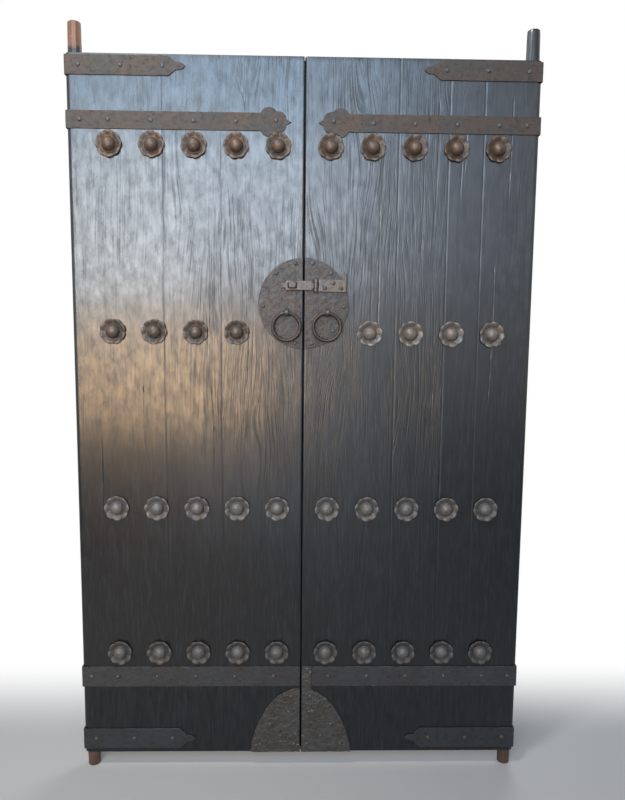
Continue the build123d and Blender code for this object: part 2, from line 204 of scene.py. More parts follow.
@dataclass(frozen=True)
class BlackLacquer:
    """Black lacquer brushed on elm planks, worn to satin, with the grain standing through it."""

    film: str = "#05080d"
    worn: str = "#14181d"
    ridge: str = "#1d2228"
    # The black of the pores, and also of checks, seams and sunk edges, where it is partly painted shade
    pit: str = "#030405"
    # A pore line is a fraction of a millimetre wide. It is drawn 4 mm wide, as the photograph shows it
    pore: Point = (0.0040, 0.0040, 0.16)
    patch: Point = (0.10, 0.10, 0.30)
    bend: Point = (0.08, 0.08, 0.40)
    ripple: Point = (0.022, 0.022, 0.08)
    smudge: Point = (0.022, 0.022, 0.044)
    # Ridges of hard grain, rubbed grey. They too are drawn wider than they are
    streak: Point = (0.0045, 0.0045, 0.05)
    sway: float = 0.05
    smooth: float = 0.28
    rough: float = 0.36
    coat: float = 0.82
    coat_left: float = 0.15
    coat_roughness: float = 0.18
    relief: float = 0.00018
    # How black a pore line is
    open_pores: float = 0.5
    # Splashes and kicks have taken the gloss off the boards below this height. It fades out over
    # the second length, above and below
    dull_below: float = 0.26
    dull_fade: float = 0.04
    # A check, seam or sunk edge starts to darken at the first depth and is black from the second, partly as
    # dirt and partly as painted shade, and the back of the board starts at the last depth
    sunk_shade_starts: float = 0.0015
    sunk_shade_full: float = 0.0026
    check_ends: float = 0.006

    def make(self, name: str, shift: float) -> Material:
        """Builds the material of one plank.

        Args:
            name: The material's name.
            shift: Where this plank's grain starts, in cells.

        Returns:
            The material.
        """
        material, tree, places = new_material(name)
        place = add_node(tree, "SeparateXYZ", {0: places})
        pores = self.pores(tree, places, shift)
        # Checks, seams and sunk edges are painted black by depth, partly as dirt and partly as painted
        # shade, together with the real pores
        depth = self.depth(tree, place.outputs["Y"])
        dark = add_node(tree, "Math", {0: depth, 1: pores}, operation="MAXIMUM")
        spots = cells(tree, places, self.smudge, (shift, 0, 0), detail=7, rough=0.70)
        smudges = add_node(tree, "MapRange", {0: spots}, {1: 0.33, 2: 0.67})
        streaks = cells(tree, places, self.streak, (shift, 0, shift), detail=3, rough=0.6)
        ridges = add_node(tree, "MapRange", {0: streaks}, {1: 0.50, 2: 0.68})
        over = ((smudges, self.worn), (ridges, self.ridge), (dark, self.pit))
        gloss = add_node(tree, "MapRange", {0: smudges}, {3: self.smooth, 4: self.rough})
        gloss = add_node(tree, "Math", {0: dark, 2: gloss}, {1: 0.2}, operation="MULTIPLY_ADD")
        ripples = cells(tree, places, self.ripple, (0, 0, shift))
        height = add_node(tree, "Math", {0: pores, 2: ripples}, {1: -1.0}, operation="MULTIPLY_ADD")
        bump = add_node(tree, "Bump", {"Height": height}, {"Strength": 1.0, "Distance": self.relief})
        bald = self.bald(tree, dark, smudges, place.outputs["Z"])
        shader = add_node(
            tree,
            "BsdfPrincipled",
            {
                "Base Color": layers(tree, self.film, over),
                "Roughness": gloss,
                "Coat Weight": add_node(tree, "MapRange", {0: bald}, {3: self.coat, 4: self.coat_left}),
                "Normal": bump,
                "Coat Normal": bump,
            },
            {"IOR": 1.46, "Coat Roughness": self.coat_roughness},
        )
        add_node(tree, "OutputMaterial", {"Surface": shader})
        return material

    def bald(self, tree: NodeTree, dark: Node, smudges: Node, z: Any) -> Node:
        """Works out where the clear gloss is gone.

        Args:
            tree: The material's tree.
            dark: The pores and checks.
            smudges: The worn patches.
            z: The height.

        Returns:
            The node that says how far it is gone, from 0 to 1.
        """
        worn = {0: dark, 2: smudges}
        worn = add_node(tree, "Math", worn, {1: 0.7}, operation="MULTIPLY_ADD", use_clamp=True)
        ramp = {1: self.dull_below + self.dull_fade, 2: self.dull_below - self.dull_fade}
        foot = add_node(tree, "MapRange", {0: z}, ramp)
        return add_node(tree, "Math", {0: worn, 1: foot}, operation="MAXIMUM")

    def depth(self, tree: NodeTree, y: Any) -> Node:
        """Works out how deep a point lies in a check, seam or sunk edge of the outer face, where the finish
        paints it black, partly as dirt and partly as painted shade.

        Args:
            tree: The material's tree.
            y: The point's Y.

        Returns:
            The node that says how deep, from 0 to 1.
        """
        ramp = {1: FACE + self.sunk_shade_starts, 2: FACE + self.sunk_shade_full}
        sunk = add_node(tree, "MapRange", {0: y}, ramp)
        outside = add_node(tree, "Math", {0: y}, {1: FACE + self.check_ends}, operation="LESS_THAN")
        return add_node(tree, "Math", {0: sunk, 1: outside}, operation="MULTIPLY")

    def pores(self, tree: NodeTree, places: Any, shift: float) -> Node:
        """Draws broken pore lines up the plank, in patches, bent over its heart.

        Args:
            tree: The material's tree.
            places: The object's coordinates.
            shift: Where the grain starts, in cells.

        Returns:
            The node of the lines, from 0 to 1.
        """
        bend = cells(tree, places, self.bend, (0, shift, shift), detail=1).outputs["Color"]
        bent = {0: bend, 2: places}
        bent = add_node(tree, "VectorMath", bent, {1: (self.sway, 0, 0)}, operation="MULTIPLY_ADD")
        lines = cells(tree, bent, self.pore, (shift, 0, shift), detail=3, rough=0.55)
        lines = add_node(tree, "MapRange", {0: lines}, {1: 0.48, 2: 0.66})
        patches = cells(tree, places, self.patch, (shift, shift, 0))
        ramp = {1: 0.38, 2: 0.62, 3: 0.3 * self.open_pores, 4: self.open_pores}
        patches = add_node(tree, "MapRange", {0: patches}, ramp)
        return add_node(tree, "Math", {0: lines, 1: patches}, operation="MULTIPLY")


@dataclass(frozen=True)
class ForgedIron:
    """Hand-forged iron: scale and rust over dark metal, pitted, with no bright polish left."""

    body: str = "#5a534e"
    rust: str = "#6b4a38"
    scale: str = "#2a2626"
    # The colour of the painted shade in a washer's hollow
    dirt: str = "#0d0b0a"
    rust_share: float = 0.35
    metallic: float = 0.35
    roughness: float = 0.52
    specular: float = 0.5
    patch: Point = (0.035, 0.035, 0.035)
    pit: float = 0.0035
    pit_depth: float = 0.0005
    # How far painted shade blackens the hollow between a washer's rim and its boss, and over which heights
    hollow_shade: float = 0.0
    hollow_shade_heights: tuple[float, float] = (0.0078, 0.0045)

    def make(self, name: str, shift: float = 0.0) -> Material:
        """Builds the material.

        Args:
            name: The material's name.
            shift: Where the patches start, in cells.

        Returns:
            The material.
        """
        material, tree, places = new_material(name)
        flake = tuple(p / 4 for p in self.patch)
        patches = cells(tree, places, self.patch, (shift,) * 3, detail=5, rough=0.62)
        flakes = cells(tree, places, flake, (0, shift, 0), detail=4, rough=0.6)
        pits = cells(tree, places, (self.pit,) * 3, detail=3, rough=0.6)
        edge = 0.62 - 0.3 * self.rust_share
        rusty = add_node(tree, "MapRange", {0: patches}, {1: edge - 0.06, 2: edge + 0.10})
        dark = add_node(tree, "MapRange", {0: flakes}, {1: 0.52, 2: 0.72, 4: 0.8})
        over = [(rusty, self.rust), (dark, self.scale)]
        # Painted shade: the lower a point lies between the rim and the floor of the hollow, the blacker it
        # is
        if self.hollow_shade:
            y = add_node(tree, "SeparateXYZ", {0: places}).outputs["Y"]
            rim, floor = (FACE - height for height in self.hollow_shade_heights)
            over.append((add_node(tree, "MapRange", {0: y}, {1: rim, 2: floor, 4: self.hollow_shade}), self.dirt))
        ramp = {1: 0.3, 2: 0.7, 3: self.roughness - 0.08, 4: self.roughness + 0.12}
        gloss = add_node(tree, "MapRange", {0: flakes}, ramp)
        height = add_node(tree, "Math", {0: pits, 2: flakes}, {1: 0.6}, operation="MULTIPLY_ADD")
        bump = add_node(tree, "Bump", {"Height": height}, {"Strength": 0.8, "Distance": self.pit_depth})
        shader = add_node(
            tree,
            "BsdfPrincipled",
            {"Base Color": layers(tree, self.body, over), "Roughness": gloss, "Normal": bump},
            {"Metallic": self.metallic, "Specular IOR Level": self.specular},
        )
        add_node(tree, "OutputMaterial", {"Surface": shader})
        return material


@dataclass(frozen=True)
class OiledElm:
    """Elm with no lacquer left: brown, rubbed smooth, its grain open and dirty."""

    light: str = "#764f39"
    dark: str = "#4a2f21"
    black: str = "#15120f"
    grain: Point = (0.003, 0.003, 0.06)
    stain: Point = (0.03, 0.03, 0.05)
    roughness: float = 0.55
    # The old lacquer still blackens the wood below this height, if it is set
    black_below: float = 0.0

    def make(self, name: str) -> Material:
        """Builds the material.

        Args:
            name: The material's name.

        Returns:
            The material.
        """
        material, tree, places = new_material(name)
        streaks = cells(tree, places, self.grain, detail=4, rough=0.6)
        stains = cells(tree, places, self.stain, detail=3, rough=0.6)
        share = add_node(tree, "Math", {0: stains, 2: streaks}, {1: 0.8}, operation="MULTIPLY_ADD")
        over = [(add_node(tree, "MapRange", {0: share}, {1: 0.6, 2: 1.2}), self.dark)]
        if self.black_below:
            z = add_node(tree, "SeparateXYZ", {0: places}).outputs["Z"]
            ragged = add_node(tree, "Math", {0: stains, 2: z}, {1: 0.03}, operation="MULTIPLY_ADD")
            ramp = {1: self.black_below, 2: self.black_below + 0.01, 3: 1.0, 4: 0.0}
            over.append((add_node(tree, "MapRange", {0: ragged}, ramp), self.black))
        bump = add_node(tree, "Bump", {"Height": streaks}, {"Strength": 0.6, "Distance": 0.0004})
        sources = {"Base Color": layers(tree, self.light, over), "Normal": bump}
        shader = add_node(tree, "BsdfPrincipled", sources, {"Roughness": self.roughness})
        add_node(tree, "OutputMaterial", {"Surface": shader})
        return material


# Hand work on meshes


def deselect() -> None:
    """Leaves edit mode and deselects every object."""
    if bpy.context.object and bpy.context.object.mode != "OBJECT":
        bpy.ops.object.mode_set(mode="OBJECT")
    bpy.ops.object.select_all(action="DESELECT")


def take(*pieces: Object) -> None:
    """Selects these objects alone.

    Args:
        pieces: The objects. The first becomes the active one.
    """
    deselect()
    for piece in pieces:
        piece.select_set(True)
    bpy.context.view_layer.objects.active = pieces[0]


def new_piece(add: Callable[..., Any], **options: Any) -> Object:
    """Starts a piece from a primitive, with nothing else selected.

    Args:
        add: The operator that adds the primitive.
        options: The operator's own options.

    Returns:
        The piece.
    """
    deselect()
    add(**options)
    return bpy.context.object


def edit(piece: Object, kind: str = "VERT", every: bool = False) -> None:
    """Opens a piece in edit mode.

    Args:
        piece: The piece.
        kind: VERT, EDGE or FACE.
        every: Whether all of it is selected, or nothing.
    """
    take(piece)
    bpy.ops.object.mode_set(mode="EDIT")
    bpy.ops.mesh.select_mode(type=kind)
    bpy.ops.mesh.select_all(action="SELECT" if every else "DESELECT")


def pick(piece: Object, test: Callable[[Vector], bool]) -> None:
    """Selects the vertices of an open piece that pass a test.

    Args:
        piece: The piece.
        test: Says of a vertex's place whether it is wanted.
    """
    mesh = bmesh.from_edit_mesh(piece.data)
    for v in mesh.verts:
        v.select_set(test(v.co))
    mesh.select_flush_mode()
    bmesh.update_edit_mesh(piece.data)


def pick_sharp(piece: Object, angle: float = 40.0) -> None:
    """Selects an open piece's sharp edges.

    Args:
        piece: The piece.
        angle: The least angle between an edge's faces, in degrees.
    """
    mesh = bmesh.from_edit_mesh(piece.data)
    for e in mesh.edges:
        e.select_set(len(e.link_faces) == 2 and e.calc_face_angle(0) > math.radians(angle))
    bmesh.update_edit_mesh(piece.data)


def extrude(x: float, y: float, z: float) -> None:
    """Extrudes what is selected by a move."""
    bpy.ops.mesh.extrude_region_move(TRANSFORM_OT_translate={"value": (x, y, z)})


def stretch(factors: Point, about: Point = (0, 0, 0)) -> None:
    """Stretches what is selected, away from a point."""
    bpy.ops.transform.resize(value=factors, center_override=about)


def settle(piece: Object) -> None:
    """Puts a piece's place, turn and scale into its mesh."""
    take(piece)
    bpy.ops.object.transform_apply(location=True, rotation=True, scale=True)


def smooth(piece: Object, angle: float = 35.0) -> None:
    """Shades a piece smooth but for edges sharper than an angle in degrees."""
    take(piece)
    bpy.ops.object.shade_smooth_by_angle(angle=math.radians(angle))


def group(piece: Object, name: str, weight: Callable[[Vector], float]) -> None:
    """Gives a piece a vertex group.

    Args:
        piece: The piece.
        name: The group's name.
        weight: Gives the weight at a vertex's place.
    """
    made = piece.vertex_groups.new(name=name)
    for v in piece.data.vertices:
        share = weight(v.co)
        if share > 0:
            made.add([v.index], share, "REPLACE")


def clouds(name: str, depth: int = 2) -> Texture:
    """Finds or makes a soft random pattern of one cell a unit.

    Args:
        name: The pattern's name.
        depth: How many finer layers it has.

    Returns:
        The pattern.
    """
    made = bpy.data.textures.get(name) or bpy.data.textures.new(name, "CLOUDS")
    made.noise_scale = 1.0
    made.noise_depth = depth
    return made


def hammer(
    piece: Object,
    texture: Texture | None,
    cell: Point,
    depth: float,
    direction: str = "NORMAL",
    level: float = 0.5,
    where: str = "",
    origin: Point = (0, 0, 0),
) -> None:
    """Works a texture into a piece's surface with an applied Displace modifier.

    Args:
        piece: The piece.
        texture: The pattern.
        cell: The size of one unit of the pattern, in metres.
        depth: How far the surface moves over the pattern's range, in metres.
        direction: The modifier's direction.
        level: The pattern value that leaves the surface where it is.
        where: A vertex group that limits it.
        origin: Where the pattern starts.
    """
    gauge = bpy.data.objects.new("gauge", None)
    bpy.context.collection.objects.link(gauge)
    gauge.scale = cell
    gauge.location = origin
    bpy.context.view_layer.update()
    take(piece)
    work = piece.modifiers.new("hammer", "DISPLACE")
    work.texture = texture
    work.texture_coords = "OBJECT"
    work.texture_coords_object = gauge
    work.strength = depth
    work.mid_level = level
    work.direction = direction
    work.vertex_group = where
    bpy.ops.object.modifier_apply(modifier=work.name)
    bpy.data.objects.remove(gauge)


def face_front(piece: Object, cell: float, depth: float, angle: float) -> Object:
    """Closes a small pattern piece that faces up, turns it to face -Y and dents it.

    Args:
        piece: The piece, open or not.
        cell: The size of the dents.
        depth: Their depth.
        angle: The least angle of an edge that stays sharp, in degrees.

    Returns:
        The piece.
    """
    edit(piece, every=True)
    bpy.ops.mesh.remove_doubles(threshold=MERGE)
    bpy.ops.mesh.normals_make_consistent(inside=False)
    deselect()
    piece.rotation_euler = (math.pi / 2, 0, 0)
    settle(piece)
    hammer(piece, clouds("dents"), (cell,) * 3, depth)
    smooth(piece, angle)
    return piece


def dome(radius: float, segments: int, rings: int) -> Object:
    """Models the upper half of a ball, closed below.

    Args:
        radius: The ball's radius.
        segments: Its faces around.
        rings: The rings of the whole ball.

    Returns:
        The piece, open in edit mode.
    """
    ball = bpy.ops.mesh.primitive_uv_sphere_add
    piece = new_piece(ball, segments=segments, ring_count=rings, radius=radius)
    edit(piece, every=True)
    bpy.ops.mesh.bisect(plane_co=(0, 0, 0), plane_no=(0, 0, 1), use_fill=True, clear_inner=True)
    return piece


def join(pieces: Sequence[Object], name: str) -> Object:
    """Joins pieces into the first.

    Args:
        pieces: The pieces.
        name: The new name.

    Returns:
        The joined piece.
    """
    take(*pieces)
    if len(pieces) > 1:
        bpy.ops.object.join()
    pieces[0].name = name
    return pieces[0]


def copies(pattern: Object, places: Sequence[Matrix]) -> list[Object]:
    """Copies a pattern piece to places, each copy with its own mesh.

    Args:
        pattern: The piece that is copied, modelled at the origin.
        places: Where each copy goes.

    Returns:
        The copies.
    """
    made = []
    for place in places:
        take(pattern)
        bpy.ops.object.duplicate(linked=False)
        copy = bpy.context.object
        copy.matrix_world = place
        settle(copy)
        made.append(copy)
    return made


def reforged(node: str, name: str, round_over: float, grid: float) -> Object:
    """A merged copy of a flat CAD node with its edges rounded and a grid cut over it.

    Args:
        node: The CAD node.
        name: The new piece's name.
        round_over: The width of the edges' bevel, in metres.
        grid: The spacing of the cuts that let it be hammered, in metres.

    Returns:
        The piece.
    """
    take(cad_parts[node])
    bpy.ops.object.duplicate(linked=False)
    piece = bpy.context.object
    piece.name = name
    for key in [k for k in piece.keys() if k.startswith("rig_")]:
        del piece[key]
    edit(piece, every=True)
    bpy.ops.mesh.remove_doubles(threshold=MERGE)
    bpy.ops.mesh.dissolve_limited(angle_limit=math.radians(1))
    bpy.ops.mesh.select_mode(type="EDGE")
    pick_sharp(piece)
    if round_over:
        bpy.ops.mesh.bevel(offset=round_over, segments=2, affect="EDGES", clamp_overlap=True)
    low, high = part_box(node)
    for axis in (0, 2):
        normal = [float(axis == i) for i in range(3)]
        count = int((high[axis] - low[axis]) / grid)
        for i in range(1, count + 1):
            place = [0.0, 0.0, 0.0]
            place[axis] = low[axis] + (i - 0.5) * (high[axis] - low[axis]) / count
            bpy.ops.mesh.select_all(action="SELECT")
            bpy.ops.mesh.bisect(plane_co=place, plane_no=normal)
    deselect()
    return piece


def islands(node: str) -> list[tuple[Vector, Vector]]:
    """Reads the boxes of a CAD node's separate solids from its mesh.

    Args:
        node: The CAD node.

    Returns:
        The low and high corner of each, from the lowest solid up and from left to right.
    """
    mesh = bmesh.new()
    mesh.from_mesh(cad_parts[node].data)
    bmesh.ops.remove_doubles(mesh, verts=mesh.verts, dist=MERGE)
    left = set(mesh.verts)
    boxes = []
    while left:
        front = [left.pop()]
        solid = list(front)
        while front:
            near = {e.other_vert(v) for v in front for e in v.link_edges} & left
            left -= near
            front = list(near)
            solid += front
        corners = (Vector(most(v.co[i] for v in solid) for i in range(3)) for most in (min, max))
        boxes.append(tuple(corners))
    mesh.free()
    return sorted(boxes, key=lambda b: (round(b[0].z, 3), b[0].x))


def place_piece(piece: Object, body: str, finish: Material, nodes: Sequence[str]) -> None:
    """Dresses a finished piece and gives it its place in the part.

    Args:
        piece: The piece.
        body: The body it rides on.
        finish: Its finish.
        nodes: The CAD nodes it stands for.
    """
    piece.data.materials.clear()
    piece.data.materials.append(finish)
    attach(piece, body)
    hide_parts(*nodes)
    log.info("%s: %d faces on %s", piece.name, len(piece.data.polygons), body)


# The planks


@dataclass(frozen=True)
class Split:
    """A drying check in a plank's face, in metres. It leans and sways as it rises."""

    x: float
    low: float
    high: float
    lean: float
    sway: float
    wave: float
    depth: float
    # How far from its ends it reaches its full depth
    taper: float = 0.03

    def weight(self, co: Vector, width: float) -> float:
        """Works out how deep a place lies in the check.

        Args:
            co: The place.
            width: Half the width of a check of depth 1 or less.

        Returns:
            The depth's share there, 0 or less outside the check.
        """
        if not self.low < co.z < self.high:
            return 0.0
        up = co.z - self.low
        path = self.x + self.sway * math.sin(up / self.wave) + self.lean * up
        near = 1 - abs(co.x - path) / (width * max(1.0, self.depth))
        return near * min(1.0, up / self.taper, (self.high - co.z) / self.taper) * self.depth


@dataclass
class Plank:
    """One upright plank with worn edges, drying checks and grain worked into its outer face."""

    hand: Hand
    part: str
    seed: int
    # The splits that the plank is known for. More are drawn at random
    splits: tuple[Split, ...] = ()
    column: float = 0.00135
    rise: float = 0.0075
    rim: float = 0.006
    back_chamfer: float = 0.0016
    joint_drops: tuple[float, ...] = (0.0008, 0.0005, 0.00025, 0.0001)
    meeting_drops: tuple[float, ...] = (0.0022, 0.0009, 0.0004, 0.0001)
    outer_drops: tuple[float, ...] = (0.0062, 0.0042, 0.0028, 0.0018, 0.0010, 0.0005, 0.0002)
    end_drop: float = 0.0012
    check_depth: float = 0.0011
    check_width: float = 0.0016
    check_lean: float = 0.012
    # Name, cell and depth of the patterns that planing and weather left in the face
    patterns: tuple[tuple[str, Point, float], ...] = (
        ("waves", (0.050, 0.050, 0.26), -0.0006),
        ("ridges", (0.0070, 0.0070, 0.13), -0.00012),
    )
    # How deep each step of the edge lies, and how far the meeting edge of the right and of the
    # left leaf stands out there
    hewn: tuple[Point, ...] = (
        (0.007, 0.0, 0.0), (0.009, 0.0017, 0.0), (0.017, 0.0017, 0.0), (0.019, 0.0, 0.0),
        (0.023, 0.0, 0.0017), (0.034, 0.0, 0.0017), (0.036, 0.0, 0.0),
    )

    @property
    def node(self) -> str:
        """The CAD node that the plank stands for."""
        return f"{self.hand.word}_{self.part}"

    def build(self) -> Object:
        """Models the plank: a fine face, four sides and a chamfered back.

        Returns:
            The plank's object.
        """
        low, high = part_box(self.node)
        wide, tall = high.x - low.x, LEAF_TOP - LEAF_FOOT
        centre = ((low.x + high.x) / 2, FACE, LEAF_FOOT + tall / 2)
        columns, rows = round(wide / self.column), round(tall / self.rise)
        piece = new_piece(
            bpy.ops.mesh.primitive_grid_add, x_subdivisions=columns, y_subdivisions=rows,
            size=1, location=centre, rotation=(math.pi / 2, 0, 0),
        )
        piece.name = f"{self.node}_plank"
        piece.scale = (wide, tall, 1)
        settle(piece)
        self.wear(piece, low.x, high.x)
        self.back_up(piece, low.x, high.x, centre)
        smooth(piece)
        return piece

    def back_up(self, piece: Object, left: float, right: float, centre: Point) -> None:
        """Draws the edges back from the face, closes the back and hews the meeting edge.

        Args:
            piece: The plank's face.
            left: The plank's left edge.
            right: Its right edge.
            centre: The middle of its face.
        """
        edit(piece, "EDGE", every=True)
        bpy.ops.mesh.region_to_loop()
        at = 0.0
        for depth, _, _ in self.hewn:
            extrude(0, depth - at, 0)
            at = depth
            # The face's edge is worn away by a different depth at each place, and this levels it
            stretch((1, 0, 1), (0, FACE + at, 0))
        thick = -2 * FACE
        for depth in (thick - self.back_chamfer, thick):
            extrude(0, depth - at, 0)
            at = depth
        narrower = (right - left - 2 * self.back_chamfer) / (right - left)
        stretch((narrower, 1, 1), centre)
        bpy.ops.mesh.edge_face_add()
        if self.part == "meeting_board":
            self.hew(piece, right if self.hand is Hand.LEFT else left)
        bpy.ops.mesh.select_all(action="SELECT")
        bpy.ops.mesh.normals_make_consistent(inside=False)
        deselect()

    def hew(self, piece: Object, meeting: float) -> None:
        """Lets the meeting edge lean over the other leaf's, so that no light comes through the seam.

        Args:
            piece: The plank, open in edit mode.
            meeting: The place of its meeting edge.
        """
        bpy.ops.mesh.select_mode(type="VERT")
        for depth, right_bulge, left_bulge in self.hewn:
            bulge = left_bulge if self.hand is Hand.LEFT else right_bulge
            if bulge:
                pick(piece, lambda co: abs(co.x - meeting) < 1e-4 and abs(co.y - FACE - depth) < 0.0008)
                bpy.ops.transform.translate(value=(-self.hand.value * bulge, 0, 0))

    def wear(self, piece: Object, left: float, right: float) -> None:
        """Presses waves, checks and rounded edges into the flat face.

        Args:
            piece: The plank's face.
            left: The plank's left edge.
            right: Its right edge.
        """

        def inside(co: Vector) -> float:
            """Full strength away from the plank's rim."""
            gap = min(co.x - left, right - co.x, co.z - LEAF_FOOT, LEAF_TOP - co.z)
            return min(1.0, gap / self.rim)

        group(piece, "face", inside)
        group(piece, "checks", self.checks(left, right))
        origin = (self.seed * 0.37, 0, self.seed * 0.61)
        for name, cell, depth in self.patterns:
            hammer(piece, clouds(name, 1), cell, depth, "Y", level=1.0, where="face", origin=origin)
        hammer(piece, None, (1, 1, 1), self.check_depth, "Y", level=0.0, where="checks")
        inner, outer = (right, left) if self.hand is Hand.LEFT else (left, right)
        inner_drops = self.meeting_drops if self.part == "meeting_board" else self.joint_drops
        outer_drops = self.outer_drops if self.part == "hinge_stile" else self.joint_drops
        for side, drops in ((inner, inner_drops), (outer, outer_drops)):
            for i, drop in enumerate(drops):
                edit(piece)
                at = i * self.column
                pick(piece, lambda co: abs(abs(co.x - side) - at) < self.column * 0.45)
                bpy.ops.transform.translate(value=(0, drop, 0))
                deselect()
        edit(piece)
        pick(piece, lambda co: min(co.z - LEAF_FOOT, LEAF_TOP - co.z) < self.rise * 0.4)
        bpy.ops.transform.translate(value=(0, self.end_drop, 0))
        deselect()

    def checks(self, left: float, right: float) -> Callable[[Vector], float]:
        """Draws the plank's drying checks.

        Args:
            left: The plank's left edge.
            right: Its right edge.

        Returns:
            What gives the depth of the deepest check over a place.
        """
        dice = random.Random(self.seed)
        lines = list(self.splits)
        for _ in range(dice.randint(2, 3)):
            low = dice.uniform(LEAF_FOOT, LEAF_TOP - 0.2)
            x = dice.uniform(left + 0.02, right - 0.02)
            high = low + dice.uniform(0.12, 0.4)
            sway, wave = dice.uniform(0.001, 0.004), dice.uniform(0.05, 0.15)
            depth = dice.uniform(0.3, 0.9)
            lines.append(Split(x, low, high, self.check_lean, sway, wave, depth))
        return lambda co: max(line.weight(co, self.check_width) for line in lines)


@dataclass
class LeafWood:
    """All the wood of one leaf: planks, pegs and back battens."""

    hand: Hand
    planks: tuple[tuple[str, BlackLacquer], ...]
    splits: dict[str, tuple[Split, ...]]
    peg_radius: float = 0.0175
    peg_x: float = 0.5715
    peg_top: float = 1.952
    peg_turn: float = 0.2
    # How much narrower the tip is, and the width of its chamfer
    tip_taper: float = 0.93
    tip_chamfer: float = 0.003
    peg_cuts: int = 8
    # Size and depth of the chips in a peg
    chip: Point = (0.012, 0.012, 0.03)
    chip_depth: float = 0.0009

    def build(self, pegs: dict[str, Material], oiled: Material) -> None:
        """Models and dresses the leaf's wood.

        Args:
            pegs: The finish of the upper and lower peg.
            oiled: The battens' finish.
        """
        for i, (part, lacquer) in enumerate(self.planks):
            seed = 4 * i + self.hand.value + 2
            plank = Plank(self.hand, part, seed, self.splits.get(part, ()))
            piece = plank.build()
            finish = lacquer.make(f"black_lacquer_{plank.node}", 3.7 * plank.seed)
            place_piece(piece, self.hand.body, finish, [plank.node])
        stile = f"{self.hand.word}_hinge_stile"
        for end, (low, high) in {"top": (LEAF_TOP, self.peg_top), "bottom": (0.0, LEAF_FOOT)}.items():
            place_piece(self.peg(end, low, high), self.hand.body, pegs[end], [stile])
        for row in Row:
            node = f"{self.hand.word}_{row.value}_batten"
            piece = reforged(node, f"{node}_bar", round_over=0.0012, grid=0.03)
            smooth(piece)
            place_piece(piece, self.hand.body, oiled, [node])

    def peg(self, end: str, low: float, high: float) -> Object:
        """Models one pivot peg. The left leaf's upper one is whittled, and the others are rounder.

        Args:
            end: top or bottom.
            low: The peg's lower end.
            high: The peg's upper end.

        Returns:
            The peg's object.
        """
        whittled = self.hand is Hand.LEFT and end == "top"
        centre = (self.hand.value * self.peg_x, 0, (low + high) / 2)
        piece = new_piece(
            bpy.ops.mesh.primitive_cylinder_add, vertices=11 if whittled else 32,
            radius=self.peg_radius, depth=high - low, location=centre,
            rotation=(0, 0, self.peg_turn),
        )
        piece.name = f"{self.hand.word}_{end}_peg"
        settle(piece)
        tip = high if end == "top" else low
        edit(piece)
        pick(piece, lambda co: abs(co.z - tip) < 1e-5)
        stretch((self.tip_taper, self.tip_taper, 1), (*centre[:2], tip))
        bpy.ops.mesh.bevel(offset=self.tip_chamfer, segments=3, affect="EDGES")
        for i in range(1, self.peg_cuts):
            cut = low + (high - low) * i / self.peg_cuts
            bpy.ops.mesh.select_all(action="SELECT")
            bpy.ops.mesh.bisect(plane_co=(0, 0, cut), plane_no=(0, 0, 1))
        deselect()
        hammer(piece, clouds("chips"), self.chip, self.chip_depth, level=0.9)
        smooth(piece, angle=20 if whittled else 50)
        return piece


# Studs and nails


